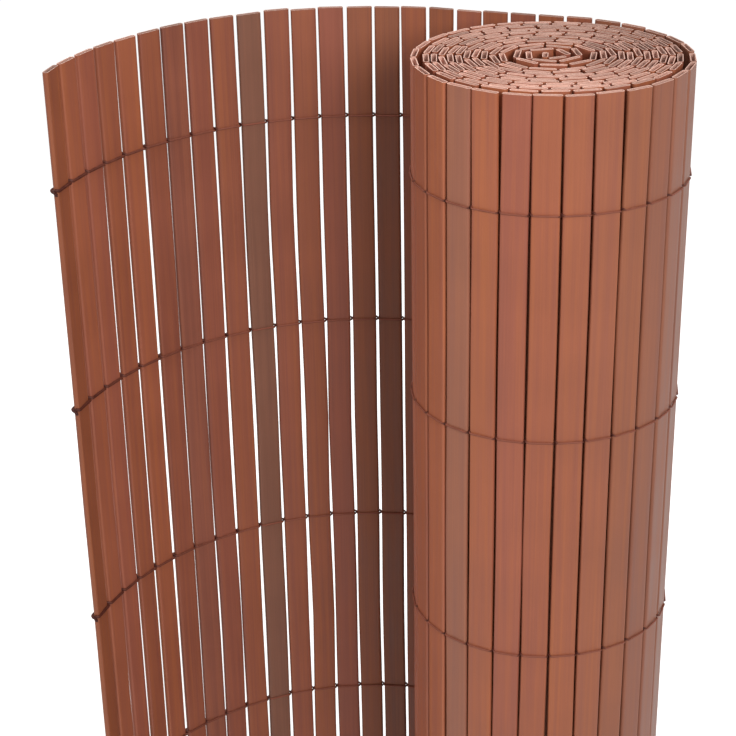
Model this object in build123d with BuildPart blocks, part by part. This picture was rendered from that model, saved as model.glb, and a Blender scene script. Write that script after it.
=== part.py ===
"""Partly unrolled privacy screen: hollow PVC slats, bound side by side by woven wire, standing on end.

Seen from above, the mat winds out of an oval roll counter-clockwise, leaves it on a straight run and then
bends forward in a wide arc. Plan points are taken about the roll's axis, and the finished pieces are moved so
that the origin is the middle of the footprint, on the floor.
"""

import os
from math import asin, cos, pi, radians, sin

from build123d import *

# Slats, in millimetres
screen_height = 1000.0
slat_width = 15.4
slat_thickness = 3.4
slat_wall = 0.5
slat_gap = 1.6
edge_bevel = 0.9

# Roll: half widths are to the middle of the mat, and the depth is a share of the width
roll_half_width = 80.3
roll_depth_ratio = 0.90
core_half_width = 9.5
turn_clearance = 0.25

# Loose turns: the mat draws in from the slack outer turn, and again to the core, and lies a little further back.
# It starts to do so at a number of turns from where the tail leaves, and takes a share of a turn for it
outer_turn_slack = 2.4
outer_draw_start = 0.75
outer_set_back = 1.0
core_slack = 2.6
core_draw_start = 11.2
core_set_back = 2.2
draw_length = 0.30

# Depth of the grooves between the wound slats
groove_depth = 1.3

# Tail: where it leaves the roll, in degrees round the oval, its straight run and its bend
leave_angle = 69.0
tail_slat_count = 22
tail_straight = 84.0
tail_bend_radius = 180.0

# How far before that point the gap between the last wound slat and the first free one lies
first_gap = 3.0

# Binding wires
wire_line_count = 7
wire_diameter = 1.1
wire_clearance = 0.1
wire_end_margin = 68.0

# How far round the roll the outer strand shows, in turns: it comes out from under the tail's first slats
strand_turns = 0.92

# Worked out from the sizes above
pitch = slat_width + slat_gap
face_half = slat_width / 2 - edge_bevel
wire_reach = slat_thickness / 2 + wire_clearance + wire_diameter / 2
wire_spacing = (screen_height - 2 * wire_end_margin) / (wire_line_count - 1)
leave = radians(leave_angle)


def left_of(direction):
    """The direction a quarter turn to the left."""
    return Vector(-direction.Y, direction.X)


def drawn_in(angle, start):
    """Share of a draw-in done at an angle on the spiral, rising smoothly from 0 to 1."""
    turns = (leave - angle) / (2 * pi)
    share = min(max((turns - start) / draw_length, 0), 1)
    return (1 - cos(pi * share)) / 2


def slack_taken(angle):
    """Half width that the draw-ins have taken from the roll, up to an angle on the spiral."""
    return outer_turn_slack * drawn_in(angle, outer_draw_start) + core_slack * drawn_in(angle, core_draw_start)


def turn_spacing(half_width):
    """Distance between turns. The slats are flat, so they need more room where the roll is tight."""
    chord_rise = face_half**2 / (2 * half_width * roll_depth_ratio)
    return (slat_thickness + chord_rise + turn_clearance) / roll_depth_ratio


def roll_point(angle, half_width):
    back = outer_set_back * drawn_in(angle, outer_draw_start) + core_set_back * drawn_in(angle, core_draw_start)
    return Vector(half_width * cos(angle), roll_depth_ratio * half_width * sin(angle) + back)


def chord_angle(angle, half_width, length):
    """Angle that a straight length of mat takes up on the oval."""
    reach = half_width * Vector(sin(angle), roll_depth_ratio * cos(angle)).length
    return 2 * asin(min(length / (2 * reach), 1))


def step_in(angle, half_width, length):
    """Angle and half width on the spiral, a straight length further in."""
    guess = chord_angle(angle, half_width, length)
    step = chord_angle(angle - guess / 2, half_width, length)
    slack = slack_taken(angle - step) - slack_taken(angle)
    return angle - step, half_width - turn_spacing(half_width) * step / (2 * pi) - slack


def roll_gaps():
    """Angle and half width at each gap between the wound slats, from the tail inward to the core."""
    places = [step_in(leave, roll_half_width, first_gap)]
    while places[-1][1] > core_half_width:
        places.append(step_in(*places[-1], pitch))
    return places


def tail_point(length):
    """Point on the tail's middle line, at a length from where it leaves the roll."""
    heading = Vector(-sin(leave), roll_depth_ratio * cos(leave)).normalized()
    bend_start = roll_point(leave, roll_half_width) + heading * min(length, tail_straight)
    turn = max(length - tail_straight, 0) / tail_bend_radius
    return bend_start + (heading * sin(turn) + left_of(heading) * (1 - cos(turn))) * tail_bend_radius


def slat_between(inner, outer):
    """Middle and direction of the slat between two neighbouring gaps."""
    return (inner + outer) / 2, (outer - inner).normalized()


def offset_path(points, distance):
    """A path moved to its left, with mitred corners."""
    runs = [(b - a).normalized() for a, b in zip(points, points[1:])]
    moved = []
    for point, before, after in zip(points, runs[:1] + runs, runs + runs[-1:]):
        across = left_of((before + after).normalized())
        moved.append(point + across * (distance / across.dot(left_of(after))))
    return moved


def ribbon(path):
    """Outline of a wire along a path, seen from above."""
    return offset_path(path, wire_diameter / 2) + offset_path(path, -wire_diameter / 2)[::-1]


def woven(sides):
    """Path of a strand through the tail: past one slat on the first side, and past the next on the other."""
    path = []
    for number in range(tail_slat_count):
        gap = tail_start + number
        path += sides[number % 2][gap : gap + 2]
    return path + mat_line[-1:]


# Plan of the whole mat: the gaps from the core to the tail's end, with a slat between each two of them
gap_places = roll_gaps()[::-1]
roll_line = [roll_point(*place) for place in gap_places]
tail_line = [tail_point(number * pitch - first_gap) for number in range(1, tail_slat_count + 1)]
mat_line = roll_line + tail_line
slats = [slat_between(inner, outer) for inner, outer in zip(mat_line, mat_line[1:])]
wound = slats[:-tail_slat_count]
tail = slats[-tail_slat_count:]
tail_start = len(wound)

# The wound turns: one wall, with a ridge for each slat on the outside and a flat face inside
ridges = []
for number, (middle, direction) in enumerate(wound):
    outward = -left_of(direction)
    groove = middle - direction * (pitch / 2) + outward * (slat_thickness / 2 - groove_depth)
    if number == 0:
        groove += direction * (slat_gap / 2)
    face = middle + outward * (slat_thickness / 2)
    ridges += [groove, face - direction * face_half, face + direction * face_half]
last_middle, last_direction = wound[-1]
last_edge = last_middle + last_direction * (slat_width / 2)
ridges.append(last_edge - left_of(last_direction) * (slat_thickness / 2 - groove_depth))

first_middle, first_direction = wound[0]
first_edge = first_middle - first_direction * (slat_width / 2)
hollow_side = offset_path([first_edge] + roll_line[1:-1] + [last_edge], slat_thickness / 2)

with BuildPart() as wound_turns:
    with BuildSketch():
        with BuildLine():
            Polyline(*ridges, *hollow_side[::-1], close=True)
        make_face()
    extrude(amount=screen_height)

pieces = {"wound_turns": wound_turns.part}

# The free slats, from the roll to the end of the tail
for number, (middle, direction) in enumerate(tail, start=1):
    with BuildPart() as slat:
        with BuildSketch(Plane(origin=middle, x_dir=direction, z_dir=(0, 0, 1))):
            outside = Rectangle(slat_width, slat_thickness)
            chamfer(outside.vertices(), length=edge_bevel)
            offset(amount=-slat_wall, kind=Kind.INTERSECTION, mode=Mode.SUBTRACT)
        extrude(amount=screen_height)
    pieces[f"slat_{number:02d}"] = slat.part

# The binding wires: one strand goes round the outside of the roll, and both are woven through the tail
hollow_line = offset_path(mat_line, wire_reach)
outer_line = offset_path(mat_line, -wire_reach)
strand_start = sum(leave - angle >= strand_turns * 2 * pi for angle, _ in gap_places)
round_roll = outer_line[strand_start : tail_start + 1]
upper_outline = ribbon(round_roll + woven([hollow_line, outer_line]))
lower_outline = ribbon([mat_line[tail_start]] + woven([outer_line, hollow_line]))

for line in range(wire_line_count):
    height = wire_end_margin + line * wire_spacing
    with BuildPart() as binding_wire:
        with BuildSketch(Plane.XY.offset(height + wire_clearance / 2)):
            with BuildLine():
                Polyline(*upper_outline, close=True)
            make_face()
        extrude(amount=wire_diameter)
        with BuildSketch(Plane.XY.offset(height - wire_clearance / 2)):
            with BuildLine():
                Polyline(*lower_outline, close=True)
            make_face()
        extrude(amount=-wire_diameter)
    pieces[f"binding_wire_{line + 1}"] = binding_wire.part

# The wires reach furthest on every side, so they give the middle of the footprint
footprint = pieces["binding_wire_1"].bounding_box().center()
to_origin = Location((-footprint.X, -footprint.Y, 0))

os.makedirs("parts", exist_ok=True)
for name, piece in pieces.items():
    placed = piece.moved(to_origin)
    placed.label = name
    export_step(placed, f"parts/{name}.step")

print(f"{len(wound)} wound slats, {len(tail)} free slats, {pitch * (len(wound) + len(tail)) / 1000:.2f} m of mat")
print(f"{(leave - gap_places[0][0]) / (2 * pi):.2f} turns, wire spacing {wire_spacing:.2f}")
print(f"roll axis at {-footprint.X:.2f}, {-footprint.Y:.2f}")
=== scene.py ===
"""Looks of a partly unrolled privacy screen: hollow PVC slats bound by wire, in a roll with a free tail.

The plan of the mat follows the same rules as the part's source, in metres, so each slat and each wire lies
where its solid lies. Plan points are taken about the roll's axis, and moved to the frame by the place of the
last slat.
"""

from math import asin, cos, hypot, pi, radians, sin, tan, tau

import bpy
import numpy as np
from mathutils import Matrix, Vector


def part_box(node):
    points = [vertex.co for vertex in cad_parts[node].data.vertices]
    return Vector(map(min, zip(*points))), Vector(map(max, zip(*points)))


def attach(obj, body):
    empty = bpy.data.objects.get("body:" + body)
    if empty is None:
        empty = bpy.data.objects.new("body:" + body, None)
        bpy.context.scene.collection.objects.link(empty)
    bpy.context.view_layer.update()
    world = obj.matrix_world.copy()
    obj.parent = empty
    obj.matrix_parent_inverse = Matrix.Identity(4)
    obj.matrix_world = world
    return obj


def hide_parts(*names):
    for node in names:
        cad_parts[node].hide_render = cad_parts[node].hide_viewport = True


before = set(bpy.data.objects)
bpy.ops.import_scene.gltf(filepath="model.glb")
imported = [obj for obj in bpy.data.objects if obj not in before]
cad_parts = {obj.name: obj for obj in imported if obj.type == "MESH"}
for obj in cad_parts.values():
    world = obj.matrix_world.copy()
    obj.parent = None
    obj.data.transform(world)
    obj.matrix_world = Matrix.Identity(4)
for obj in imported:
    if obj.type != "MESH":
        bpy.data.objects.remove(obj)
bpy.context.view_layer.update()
rng = np.random.default_rng(seed=11)

# Slats, in metres: the solids' edges have the bevel, and the rounding shows in its place
slat_width = 0.0154
slat_thickness = 0.0034
slat_wall = 0.0005
slat_gap = 0.0016
edge_bevel = 0.0009
edge_round = 0.0013

# Roll: half widths are to the middle of the mat, and the depth is a share of the width
roll_half_width = 0.0803
roll_depth_ratio = 0.90
core_half_width = 0.0095
turn_clearance = 0.00025

# Loose turns: the mat draws in from the slack outer turn, and again to the core, and lies a little further
# back; starts and lengths are in turns
outer_turn_slack = 0.0024
outer_draw_start = 0.75
outer_set_back = 0.001
core_slack = 0.0026
core_draw_start = 11.2
core_set_back = 0.0022
draw_length = 0.30

# Tail: where it leaves the roll, its slats, its straight run and its bend, and how far the roll's last gap
# lies before the place where it leaves
leave = radians(69.0)
tail_slat_count = 22
tail_straight = 0.084
tail_bend_radius = 0.180
first_gap = 0.003

# Wires: both strands are woven round most of the outer turn, and one runs on outside it to its end
wire_line_count = 7
wire_diameter = 0.0011
wire_clearance = 0.0001
wire_end_margin = 0.068
strand_turns = 0.92
woven_turns = 0.85

# Knots: how far from a gap's middle a strand dives into it, its lift there past its twin, and how much
# thicker it is there
wire_dive = 0.0019
knot_lift = 0.0006
knot_swelling = 0.2

# Free slats over which the wire swells and darkens by painted shade towards the free end, by how much, and
# its twisted end
painted_shade_wire_slats = 10
end_swelling = 0.8
pigtail_length = 0.003
pigtail_turns = 1.5
pigtail_slope = radians(60)

# How far single wire lines slid along the slats, by number from the floor
wire_slips = {6: 0.003, 7: -0.0015}

# Fineness of the meshes
edge_steps = 9
slat_steps = 32
inner_slat_steps = 1
wire_sides = 8
dive_points = 6
pigtail_points = 13

# Place of a further row of vertices on the flat faces, as a share of their half width, and the angle from
# which an edge is sharp
face_row_share = 0.7
sharp_angle = radians(40)

# Unevenness of the free slats, and the shares of it in the roll's inner turns and in its outer one
sway_size = 0.00042
lean_size = radians(1.3)
twist_size = radians(1.6)
top_step_size = 0.0006
inner_uneven = 0.35
outer_uneven = 0.6

# Turn of single free slats about their length, by number, the depth below their tops over which it sets in,
# and the share of other unevenness that they have
slat_leans = {20: radians(2.5), 19: radians(3.5), 18: radians(3.5), 17: 0.0, 16: radians(-5)}
lean_depth = 0.15
steady_uneven = 0.4

# How far single free slats slid along the mat, by number
slat_slides = {17: -0.0007, 16: -0.0003}

# How much wider the outer turn's slats show, as they are drawn flat against the turn inside
outer_turn_spread = 0.0005

# How much lower the roll's top lies than the tail's, and the turns over which the outer turn rises to the
# tail and takes on its painted shade
roll_drop = 0.0018
rise_turns = 0.2

# Chance in the slats' tones: lightness is from -1 to 1, warmth from 0 to 1, and streaks have an offset
lightness_spread = 0.17
warmth_middle = 0.5
warmth_spread = 0.25
streak_offset = 9

# Lightness of the roll's outer turn, and the share of the spreads that its slats have
roll_lightness = 0.42
roll_tone_spread = 0.5

# Lightness of the free slats at some numbers, with even steps between: painted shade darkens them behind the
# roll, and painted light lightens them towards the free end
tail_painted_shading = (-0.4, -0.18, -0.18, 0.3)
tail_lightness_slats = (4, 6, 15, 18)

# Lightness and greyness of single free slats, by number, and greyness of wound ones, by number from the tail
# Slat 8, beside the roll, is darkened partly by its own tone and partly by a painted shadow of the roll
odd_and_shadowed_slats = {22: (-0.1, 0.0), 16: (-0.28, 0.1), 13: (-0.15, 0.75), 9: (-0.18, 0.15), 8: (-0.25, 0.25)}
grey_wound_slats = {16: 0.5}

# How much greyer the outer turn is on its right side than in front, and how much darker by painted shade;
# its left side is lighter by painted light
right_side_grey = 0.55
right_side_shade = 0.35

# Lightness of the sawn ends in the middle of the roll, and its rise to the right and back by a half width:
# painted light makes them paler at the front and left
sawn_lightness = 0.33
painted_light_rise = np.array([-0.31, -0.44])

# Colours: the plastic from red to warm and to grey, raw plastic, the wire's coat and its painted shade, and
# the floor
pvc_red = (0.345, 0.107, 0.066, 1)
pvc_warm = (0.375, 0.116, 0.050, 1)
pvc_grey = (0.265, 0.125, 0.082, 1)
raw_pvc = (0.66, 0.37, 0.285, 1)
pale_raw_pvc = (0.76, 0.47, 0.38, 1)
coat_colour = (0.24, 0.075, 0.046, 1)
painted_shade_coat = (0.055, 0.012, 0.008, 1)
floor_grey = (0.8, 0.8, 0.8, 1)
white = (1, 1, 1, 1)

# Floor: half its width, and its glow at two distances from the middle of the object
floor_half_width = 20
floor_glow = (0.45, 0.8)
floor_glow_distances = (0.3, 1.3)

# Light: the strength of the white all round, and each lamp's place, target, size and power
ambient_strength = 0.25
lamps = {
    "key_light": ((0.5, -1.25, 1.5), (0.05, 0, 0.75), 0.6, 14.8),
    "side_light": ((-1.64, -0.72, 1.4), (0.05, 0, 0.75), 0.5, 9),
    "top_light": ((0.1, 0.05, 2.3), (0.1, 0, 1.0), 0.9, 12),
    "back_light": ((-0.5, 1.9, 1.6), (0, 0, 0.7), 0.8, 14),
}

# Camera, fitted to the photograph: its place from the middle of the roll's top, and its lens in pixels
camera_offset = Vector((-0.1054, -1.0328, 0.3142))
camera_pitch = radians(26.21)
camera_roll = radians(-1.08)
focal_length_px = 1908.5
image_size_px = 736

# Worked out from the sizes above
pitch = slat_width + slat_gap
face_half = slat_width / 2 - edge_bevel
wire_reach = slat_thickness / 2 + wire_clearance + wire_diameter / 2
screen_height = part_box("wound_turns")[1].z
wire_spacing = (screen_height - 2 * wire_end_margin) / (wire_line_count - 1)


def left_of(direction):
    """The direction a quarter turn to the left."""
    return np.array([-direction[1], direction[0]])


def unit(vector):
    return vector / np.linalg.norm(vector)


# Plan of the mat


def drawn_in(angle, start):
    """Share of a draw-in done at an angle on the spiral, rising smoothly from 0 to 1."""
    turns = (leave - angle) / tau
    share = min(max((turns - start) / draw_length, 0), 1)
    return (1 - cos(pi * share)) / 2


def slack_taken(angle):
    """Half width that the draw-ins have taken from the roll, up to an angle on the spiral."""
    outer_taken = outer_turn_slack * drawn_in(angle, outer_draw_start)
    core_taken = core_slack * drawn_in(angle, core_draw_start)
    return outer_taken + core_taken


def turn_spacing(half_width):
    """Distance between turns. The slats are flat, so they need more room where the roll is tight."""
    chord_rise = face_half**2 / (2 * half_width * roll_depth_ratio)
    return (slat_thickness + chord_rise + turn_clearance) / roll_depth_ratio


def roll_point(angle, half_width):
    """Point on the roll's middle line, at an angle and a half width on the spiral."""
    outer_back = outer_set_back * drawn_in(angle, outer_draw_start)
    core_back = core_set_back * drawn_in(angle, core_draw_start)
    back = outer_back + core_back
    return np.array([half_width * cos(angle), roll_depth_ratio * half_width * sin(angle) + back])


def chord_angle(angle, half_width, length):
    """Angle that a straight length of mat takes up on the oval."""
    reach = half_width * hypot(sin(angle), roll_depth_ratio * cos(angle))
    return 2 * asin(min(length / (2 * reach), 1))


def step_in(angle, half_width, length):
    """Angle and half width on the spiral, a straight length further in."""
    guess = chord_angle(angle, half_width, length)
    step = chord_angle(angle - guess / 2, half_width, length)
    slack = slack_taken(angle - step) - slack_taken(angle)
    return angle - step, half_width - turn_spacing(half_width) * step / tau - slack


def roll_gaps():
    """Angle and half width at each gap between the wound slats, from the tail inward to the core."""
    places = [step_in(leave, roll_half_width, first_gap)]
    while places[-1][1] > core_half_width:
        places.append(step_in(*places[-1], pitch))
    return places


def tail_point(length):
    """Point on the tail's middle line, at a length from where it leaves the roll."""
    heading = unit(np.array([-sin(leave), roll_depth_ratio * cos(leave)]))
    bend_start = roll_point(leave, roll_half_width) + heading * min(length, tail_straight)
    turn = max(length - tail_straight, 0) / tail_bend_radius
    return bend_start + (heading * sin(turn) + left_of(heading) * (1 - cos(turn))) * tail_bend_radius


gap_places = roll_gaps()[::-1]
mat_line = [roll_point(*place) for place in gap_places]
mat_line += [tail_point(number * pitch - first_gap) for number in range(1, tail_slat_count + 1)]

end_low, end_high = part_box(f"slat_{tail_slat_count:02d}")
roll_axis = np.array((end_low + end_high) / 2)[:2] - (mat_line[-1] + mat_line[-2]) / 2
mat_line = [point + roll_axis for point in mat_line]

# Middle and direction of each slat, and how many wound ones lie in the outer turn and along the strands
slat_places = [((a + b) / 2, unit(b - a)) for a, b in zip(mat_line, mat_line[1:])]
wound = slat_places[:-tail_slat_count]
tail = slat_places[-tail_slat_count:]
turns_in = [(leave - angle) / tau for angle, _ in gap_places]
outer_count = sum(turns < 1 for turns in turns_in) - 1
strand_count = sum(turns < strand_turns for turns in turns_in) - 1
woven_count = sum(turns < woven_turns for turns in turns_in) - 1


# Materials


def add_node(tree, kind, values=(), **settings):
    """A shader node, with its settings, and its inputs set to values or linked to other nodes' outputs."""
    made = tree.nodes.new(kind)
    for name, setting in settings.items():
        setattr(made, name, setting)
    for socket, value in dict(values).items():
        if isinstance(value, bpy.types.NodeSocket):
            tree.links.new(value, made.inputs[socket])
        else:
            made.inputs[socket].default_value = value
    return made


def start_material(name):
    """A new material, its node tree and its shader."""
    material = bpy.data.materials.new(name)
    material.use_nodes = True
    tree = material.node_tree
    return material, tree, tree.nodes["Principled BSDF"]


def object_place(tree):
    return add_node(tree, "ShaderNodeTexCoord").outputs["Object"]


def slat_tone_and_shade(tree):
    """The tone of a slat with its painted shade and light: lightness, warmth and greyness as a colour, and
    its streaks' offset as alpha.
    """
    return add_node(tree, "ShaderNodeAttribute", attribute_name="slat_tone_and_shade").outputs


def scaled_noise(tree, vector, scale, detail):
    """Noise from 0 to 1 on a vector, with features one over the scale in size."""
    values = {"Vector": vector, "Scale": scale, "Detail": detail}
    return add_node(tree, "ShaderNodeTexNoise", values).outputs["Fac"]


def to_range(tree, value, low, high, from_low=0.3, from_high=0.7):
    """A value spread from one range over another; unless told, from the range where most noise lies."""
    values = {"Value": value, "From Min": from_low, "From Max": from_high, "To Min": low, "To Max": high}
    return add_node(tree, "ShaderNodeMapRange", values).outputs["Result"]


def mixed(tree, factor, first, second):
    """Two colours mixed by a factor, through the sockets that the node has for colours."""
    values = {0: factor, 6: first, 7: second}
    return add_node(tree, "ShaderNodeMix", values, data_type="RGBA").outputs[2]


def combined(tree, first, second, operation="ADD"):
    """Two numbers combined by a sum or another operation."""
    return add_node(tree, "ShaderNodeMath", {0: first, 1: second}, operation=operation).outputs["Value"]


def lengthwise(tree, squeeze):
    """Coordinates that change slowly along the slats, and differ from slat to slat by the tone's alpha."""
    squeezed = {0: object_place(tree), 1: (1, 1, squeeze)}
    stretched = add_node(tree, "ShaderNodeVectorMath", squeezed, operation="MULTIPLY").outputs[0]
    return add_node(tree, "ShaderNodeVectorMath", {0: stretched, 1: slat_tone_and_shade(tree)["Alpha"]}).outputs[0]


def set_colour(tree, shader, colour, level):
    """Give a shader a colour that is made lighter or darker by a level."""
    shaded = add_node(tree, "ShaderNodeHueSaturation", {"Value": level, "Color": colour})
    tree.links.new(shaded.outputs["Color"], shader.inputs["Base Color"])


def set_relief(tree, shader, height, strength, distance):
    """Give a shader a relief, as bumps of a strength and a distance."""
    bump = add_node(tree, "ShaderNodeBump", {"Height": height, "Strength": strength, "Distance": distance})
    tree.links.new(bump.outputs["Normal"], shader.inputs["Normal"])


def pvc_slat():
    """Extruded terracotta PVC: tone by slat, soft streaks along it, fine die lines and a dull sheen."""
    material, tree, shader = start_material("pvc_slat")
    place = object_place(tree)
    tone = slat_tone_and_shade(tree)["Color"]
    light, hue, grey = add_node(tree, "ShaderNodeSeparateColor", {"Color": tone}).outputs
    streaks = scaled_noise(tree, lengthwise(tree, squeeze=0.02), scale=330, detail=2.0)
    die_lines = scaled_noise(tree, lengthwise(tree, squeeze=0.004), scale=2400, detail=1.0)
    clouds = scaled_noise(tree, place, scale=22, detail=3.0)
    grain = scaled_noise(tree, place, scale=3200, detail=1.0)

    warmth = combined(tree, hue, to_range(tree, streaks, -0.35, 0.35))
    colour = mixed(tree, warmth, pvc_red, pvc_warm)
    colour = mixed(tree, grey, colour, pvc_grey)
    # The lightness carries painted shade and light as well as each slat's own tone
    level = to_range(tree, light, 0.52, 1.16, from_low=-1, from_high=1)
    level = combined(tree, level, to_range(tree, streaks, -0.06, 0.06))
    level = combined(tree, level, to_range(tree, die_lines, -0.04, 0.04))
    level = combined(tree, level, to_range(tree, clouds, -0.05, 0.05))
    set_colour(tree, shader, colour, level)

    dullness = combined(tree, to_range(tree, streaks, 0.40, 0.50), to_range(tree, clouds, -0.05, 0.05))
    tree.links.new(dullness, shader.inputs["Roughness"])
    low_grain = combined(tree, grain, 0.35, "MULTIPLY")
    set_relief(tree, shader, combined(tree, die_lines, low_grain), strength=0.25, distance=0.0002)
    shader.inputs["Specular IOR Level"].default_value = 0.28
    return material


def pvc_cut_end():
    """Sawn slat ends and the raw plastic inside the slats: paler, rough, with saw marks and crumbs."""
    material, tree, shader = start_material("pvc_cut_end")
    place = object_place(tree)
    light = add_node(tree, "ShaderNodeSeparateColor", {"Color": slat_tone_and_shade(tree)["Color"]}).outputs[0]
    saw_marks = scaled_noise(tree, place, scale=900, detail=3.0)
    crumbs = scaled_noise(tree, place, scale=4000, detail=2.0)
    colour = mixed(tree, to_range(tree, saw_marks, 0, 1), raw_pvc, pale_raw_pvc)
    # The lightness carries the painted light on the roll's top
    level = to_range(tree, light, 0.34, 1.14, from_low=-1, from_high=1)
    level = combined(tree, level, to_range(tree, crumbs, -0.08, 0.08))
    set_colour(tree, shader, colour, level)
    tree.links.new(to_range(tree, crumbs, 0.6, 0.8), shader.inputs["Roughness"])
    set_relief(tree, shader, crumbs, strength=0.4, distance=0.0002)
    return material


def coated_wire():
    """Thin wire in a brown plastic coat: its own colour where it lies on the slats, and painted shade that
    darkens it in the gaps and towards the free end.
    """
    material, tree, shader = start_material("coated_wire")
    place = object_place(tree)
    darkness = add_node(tree, "ShaderNodeAttribute", attribute_name="wire_painted_shade").outputs["Fac"]
    patches = scaled_noise(tree, place, scale=160, detail=3.0)
    grain = scaled_noise(tree, place, scale=3000, detail=1.0)
    darkness = combined(tree, darkness, to_range(tree, patches, -0.12, 0.12))
    tree.links.new(mixed(tree, darkness, coat_colour, painted_shade_coat), shader.inputs["Base Color"])
    tree.links.new(to_range(tree, patches, 0.45, 0.6), shader.inputs["Roughness"])
    shader.inputs["Specular IOR Level"].default_value = 0.18
    set_relief(tree, shader, grain, strength=0.3, distance=0.0001)
    return material


# Meshes


def slat_outline(half_width, half_thickness, round_length):
    """A slat's section, counter-clockwise: flat faces between two rounded edges."""
    turn = np.linspace(-pi / 2, pi / 2, edge_steps + 1)
    flat_half = half_width - round_length
    edge = np.column_stack([flat_half + round_length * np.cos(turn), half_thickness * np.sin(turn)])
    row = flat_half * face_row_share
    right = np.vstack([[row, -half_thickness], edge, [row, half_thickness]])
    return np.vstack([right, -right])


def bay_wave(heights, size):
    """A smooth sway of about a size that is zero at each wire and differs from bay to bay."""
    bay = (heights - wire_end_margin) / wire_spacing
    sizes = rng.normal(0, size, wire_line_count + 1)
    return np.interp(bay, np.arange(wire_line_count + 1) - 0.5, sizes) * np.sin(pi * bay)


def band(first, second):
    """Quads between two closed rows of vertex numbers."""
    return np.column_stack([first, np.roll(first, -1), np.roll(second, -1), second])


def slat_room(number):
    """Width that a wound slat has between its neighbours: less than its own where the core bends sharply."""
    chord = np.linalg.norm(mat_line[number + 1] - mat_line[number])
    direction = slat_places[number][1]
    neighbours = [slat_places[max(number - 1, 0)][1], slat_places[number + 1][1]]
    bend = max(np.arccos(min(direction @ neighbour, 1)) for neighbour in neighbours)
    return min(slat_width, chord - slat_thickness * tan(bend / 2))


def slat_shell(place, width, steps, uneven, tone, lean=None, drop=0.0):
    """One hollow slat: its vertices, its quads, which of them are raw plastic, and each vertex's tone.

    Its lean is left to chance where none is given, and the drop lowers its top.
    """
    middle, direction = place
    outside = slat_outline(width / 2, slat_thickness / 2, edge_round)
    hollow = slat_outline(width / 2 - slat_wall, slat_thickness / 2 - slat_wall, edge_round - slat_wall)
    top = screen_height - drop - abs(rng.normal(0, top_step_size)) * uneven
    heights = np.linspace(0, top, steps + 1)
    sway = bay_wave(heights, sway_size * uneven)
    turn = bay_wave(heights, twist_size * uneven)
    chance_lean = rng.normal(0, lean_size * uneven)
    turn += chance_lean if lean is None else lean * np.clip((top - heights) / lean_depth, 0, 1)
    rings = []
    for outline in (outside, hollow):
        along = np.outer(np.cos(turn), outline[:, 0]) - np.outer(np.sin(turn), outline[:, 1]) + sway[:, None]
        across = np.outer(np.sin(turn), outline[:, 0]) + np.outer(np.cos(turn), outline[:, 1])
        plan = middle + along[..., None] * direction + across[..., None] * left_of(direction)
        rings.append(np.dstack([plan, np.broadcast_to(heights[:, None], along.shape)]))
    vertices = np.concatenate([ring.reshape(-1, 3) for ring in rings])
    outer, inner = np.arange(len(vertices)).reshape(2, steps + 1, -1)
    walls = [band(outer[k], outer[k + 1]) for k in range(steps)]
    walls += [band(inner[k + 1], inner[k]) for k in range(steps)]
    ends = [band(outer[-1], inner[-1]), band(inner[0], outer[0])]
    faces = np.concatenate(walls + ends)
    is_raw = np.arange(len(faces)) >= steps * len(outside)
    return vertices, faces, is_raw, np.tile(tone, (len(vertices), 1))


def mat_tone(lightness, greyness=0.0, spread=1.0):
    """A slat's lightness, warmth, greyness and streak offset; the lightness given carries painted shade and
    light.
    """
    light = np.clip(rng.normal(lightness, lightness_spread * spread), -1, 1)
    warmth = np.clip(rng.normal(warmth_middle, warmth_spread * spread), 0, 1)
    return np.array([light, warmth, greyness, rng.uniform(0, streak_offset)])


def add_piece(name, mesh, nodes):
    """Add a mesh as a piece of the model, which stands for CAD nodes."""
    piece = bpy.data.objects.new(name, mesh)
    bpy.context.scene.collection.objects.link(piece)
    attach(piece, "root")
    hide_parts(*nodes)


def add_slats(name, shells, nodes):
    """Add slats, joined into one piece."""
    vertices, faces, is_raw, tones = zip(*shells)
    starts = np.cumsum([0] + [len(points) for points in vertices])
    faces = [quads + start for quads, start in zip(faces, starts)]
    mesh = bpy.data.meshes.new(name)
    mesh.from_pydata(np.concatenate(vertices).tolist(), [], np.concatenate(faces).tolist())
    mesh.materials.append(slat_material)
    mesh.materials.append(end_material)
    mesh.polygons.foreach_set("material_index", np.concatenate(is_raw).astype(np.int32))
    mesh.shade_smooth()
    mesh.set_sharp_from_angle(angle=sharp_angle)
    attribute = mesh.attributes.new("slat_tone_and_shade", "FLOAT_COLOR", "POINT")
    attribute.data.foreach_set("color", np.concatenate(tones).astype(np.float32).ravel())
    add_piece(name, mesh, nodes)


def strand_path(places, sides, height):
    """Points of a strand: over one slat's face, down through the gap past its twin, and behind the next.

    Beside each point is its share of the way into a gap, from 0 on a slat's face to 1 in a gap's middle.
    """
    near_gap = np.linspace(pitch / 2, pitch / 2 - wire_dive, dive_points)
    along = np.concatenate([-near_gap, [-wire_dive, 0, wire_dive], near_gap[:0:-1]])
    points = []
    depths = []
    for number, ((middle, direction), side) in enumerate(zip(places, sides)):
        crosses_before = number == 0 or sides[number - 1] != side
        crosses_after = number == len(sides) - 1 or sides[number + 1] != side
        crosses = np.where(along < 0, crosses_before, crosses_after)
        out = np.clip((pitch / 2 - abs(along)) / wire_dive, 0, 1)
        out = np.where(crosses, out, 1) * pi / 2
        across = side * wire_reach * np.sin(out)
        lift = side * np.sign(along) * knot_lift * np.cos(out)
        plan = middle + np.outer(along, direction) + np.outer(across, left_of(direction))
        points.append(np.column_stack([plan, height + lift]))
        depths.append(np.cos(out))
    return np.concatenate(points), np.concatenate(depths)


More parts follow.
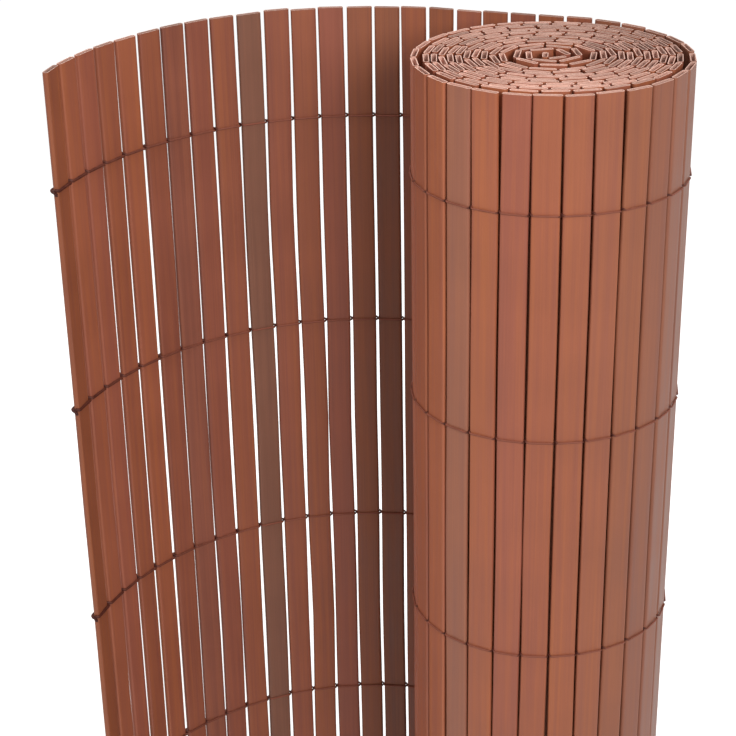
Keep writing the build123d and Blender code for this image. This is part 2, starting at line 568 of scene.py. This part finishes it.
def pigtail(place, side, height):
    """The twisted end of a strand, bent down against the last slat's edge on its hollow side."""
    middle, direction = place
    share = np.linspace(0, 1, pigtail_points)
    turn = side * pi / 2 + share * pigtail_turns * tau
    length = share * pigtail_length
    upward = wire_diameter / 2 * np.sin(turn)
    along = pitch / 2 + wire_diameter / 2 * np.cos(turn)
    across = length * cos(pigtail_slope) + upward * sin(pigtail_slope)
    rise = upward * cos(pigtail_slope) - length * sin(pigtail_slope)
    plan = middle + np.outer(along, direction) + np.outer(across, left_of(direction))
    return np.column_stack([plan, height + rise])


def tube(points, radii):
    """Vertices and faces of a wire along a path that is nowhere upright."""
    runs = np.gradient(points, axis=0)
    runs /= np.linalg.norm(runs, axis=1)[:, None]
    aside = np.cross(runs, (0, 0, 1))
    aside /= np.linalg.norm(aside, axis=1)[:, None]
    upward = np.cross(aside, runs)
    turn = np.arange(wire_sides) * tau / wire_sides
    ring = aside[:, None] * np.cos(turn)[:, None] + upward[:, None] * np.sin(turn)[:, None]
    vertices = (points[:, None] + ring * radii[:, None, None]).reshape(-1, 3)
    numbers = np.arange(len(vertices)).reshape(-1, wire_sides)
    faces = [quad for a, b in zip(numbers, numbers[1:]) for quad in band(b, a).tolist()]
    return vertices, faces + [numbers[0].tolist(), numbers[-1][::-1].tolist()]


def strand_tube(places, sides, height):
    """A strand with its twisted end: its vertices, its faces and its painted shade at each vertex."""
    points, depths = strand_path(places, sides, height)
    end = pigtail(places[-1], sides[-1], height)
    from_end = np.repeat(np.arange(len(places), 0, -1), len(points) // len(places))
    end_share = np.clip(1 - from_end / painted_shade_wire_slats, 0, 1)
    # Painted shade: dark in the gaps, over the last slats and on the twisted end
    darkness = np.append(np.maximum(depths, end_share), np.ones(len(end)))
    swelling = np.append(knot_swelling * depths + end_swelling * end_share, np.zeros(len(end)))
    vertices, faces = tube(np.vstack([points, end]), wire_diameter / 2 * (1 + swelling))
    return vertices, faces, np.repeat(darkness, wire_sides)


def add_wire(name, height, node):
    """Add the two strands of a wire line, woven round most of the roll's outer turn and through the tail."""
    woven = slat_places[-(woven_count + tail_slat_count) :]
    strand = slat_places[-(strand_count + tail_slat_count) :]
    sides = [-1 if (number - woven_count) % 2 else 1 for number in range(len(woven))]
    plain_sides = [-1] * (len(strand) - len(woven))
    vertices, faces, darkness = strand_tube(strand, plain_sides + sides, height)
    more_vertices, more_faces, more_darkness = strand_tube(woven, [-side for side in sides], height)
    faces += [[number + len(vertices) for number in face] for face in more_faces]
    mesh = bpy.data.meshes.new(name)
    mesh.from_pydata(np.vstack([vertices, more_vertices]).tolist(), [], faces)
    mesh.materials.append(wire_material)
    mesh.shade_smooth()
    attribute = mesh.attributes.new("wire_painted_shade", "FLOAT", "POINT")
    attribute.data.foreach_set("value", np.append(darkness, more_darkness).astype(np.float32))
    add_piece(name, mesh, [node])


slat_material = pvc_slat()
end_material = pvc_cut_end()
wire_material = coated_wire()

inner_slats = []
for number, place in enumerate(wound[:-outer_count]):
    # Painted light on the roll's top: the sawn ends are paler at the front and left
    tone = mat_tone(sawn_lightness + painted_light_rise @ (place[0] - roll_axis) / roll_half_width)
    shell = slat_shell(place, slat_room(number), inner_slat_steps, inner_uneven, tone, drop=roll_drop)
    inner_slats.append(shell)

outer_slats = []
for number in range(len(wound) - outer_count, len(wound)):
    place = wound[number]
    rightness = -left_of(place[1])[0]
    greyness = max(right_side_grey * rightness, grey_wound_slats.get(len(wound) - number, 0))
    risen = np.clip(1 - turns_in[number] / rise_turns, 0, 1)
    # Painted shade on the right side and painted light on the left, by the way each slat faces
    lightness = roll_lightness - right_side_shade * rightness
    # Painted shade: where the outer turn rises to the tail at the back, it darkens to the tail's first
    # lightness
    lightness += (tail_painted_shading[0] - lightness) * risen
    tone = mat_tone(lightness, greyness, roll_tone_spread)
    width = slat_width + outer_turn_spread
    drop = roll_drop * (1 - risen)
    outer_slats.append(slat_shell(place, width, slat_steps, outer_uneven, tone, drop=drop))

add_slats("inner_turn_slats", inner_slats, ["wound_turns"])
add_slats("outer_turn_slats", outer_slats, ["wound_turns"])

for number, (middle, direction) in enumerate(tail, start=1):
    slid_place = (middle + direction * slat_slides.get(number, 0), direction)
    # Painted shade and light along the tail
    lightness = np.interp(number, tail_lightness_slats, tail_painted_shading)
    # Slat 8 also carries a painted shadow of the roll
    tone = mat_tone(*odd_and_shadowed_slats.get(number, (lightness, 0)))
    uneven = steady_uneven if number in slat_leans else 1.0
    shell = slat_shell(slid_place, slat_width, slat_steps, uneven, tone, slat_leans.get(number))
    add_slats(f"free_slat_{number:02d}", [shell], [f"slat_{number:02d}"])

for number in range(1, wire_line_count + 1):
    height = wire_end_margin + (number - 1) * wire_spacing + wire_slips.get(number, 0)
    add_wire(f"twisted_wire_{number}", height, f"binding_wire_{number}")


# Floor, light and camera


def seen_share(tree):
    """1 for rays that show the background: from the camera, by reflection or through glass."""
    rays = add_node(tree, "ShaderNodeLightPath").outputs
    seen = combined(tree, rays["Is Camera Ray"], rays["Is Glossy Ray"], "MAXIMUM")
    return combined(tree, seen, rays["Is Transmission Ray"], "MAXIMUM")


def add_white_floor():
    """Add a pale floor that shows as white where it is lit and still takes the object's shadow."""
    material, tree, shader = start_material("white_floor")
    shader.inputs["Base Color"].default_value = floor_grey
    shader.inputs["Roughness"].default_value = 0.9
    shader.inputs["Specular IOR Level"].default_value = 0.0
    shader.inputs["Emission Color"].default_value = white
    measured = add_node(tree, "ShaderNodeVectorMath", {0: object_place(tree)}, operation="LENGTH")
    glow = to_range(tree, measured.outputs["Value"], *floor_glow, *floor_glow_distances)
    seen_glow = combined(tree, seen_share(tree), glow, "MULTIPLY")
    tree.links.new(seen_glow, shader.inputs["Emission Strength"])
    half = floor_half_width
    corners = [(-half, -half, 0), (half, -half, 0), (half, half, 0), (-half, half, 0)]
    mesh = bpy.data.meshes.new("studio_floor")
    mesh.from_pydata(corners, [], [(0, 1, 2, 3)])
    mesh.materials.append(material)
    floor = bpy.data.objects.new("studio_floor", mesh)
    bpy.context.scene.collection.objects.link(floor)


def set_white_world():
    """Even white light all round, which shows as white."""
    world = bpy.data.worlds.new("studio_world")
    world.use_nodes = True
    tree = world.node_tree
    background = tree.nodes["Background"]
    strength = to_range(tree, seen_share(tree), ambient_strength, 1.0, from_low=0, from_high=1)
    tree.links.new(strength, background.inputs["Strength"])
    background.inputs["Color"].default_value = white
    bpy.context.scene.world = world


def add_soft_light(name, place, target, size, power):
    lamp = bpy.data.lights.new(name, "AREA")
    lamp.size = size
    lamp.energy = power
    holder = bpy.data.objects.new(name, lamp)
    holder.location = place
    holder.rotation_euler = (Vector(target) - Vector(place)).to_track_quat("-Z", "Y").to_euler()
    bpy.context.scene.collection.objects.link(holder)


add_white_floor()
set_white_world()
for name, lamp_values in lamps.items():
    add_soft_light(name, *lamp_values)

lens = bpy.data.cameras.new("photo_camera")
lens.lens = focal_length_px / image_size_px * lens.sensor_width
camera = bpy.data.objects.new("photo_camera", lens)
camera_place = Vector((*roll_axis, screen_height)) + camera_offset
tilt = Matrix.Rotation(pi / 2 - camera_pitch, 4, "X") @ Matrix.Rotation(camera_roll, 4, "Z")
camera.matrix_world = Matrix.Translation(camera_place) @ tilt
bpy.context.scene.collection.objects.link(camera)
bpy.context.scene.camera = camera
bpy.context.scene.view_settings.view_transform = "Standard"
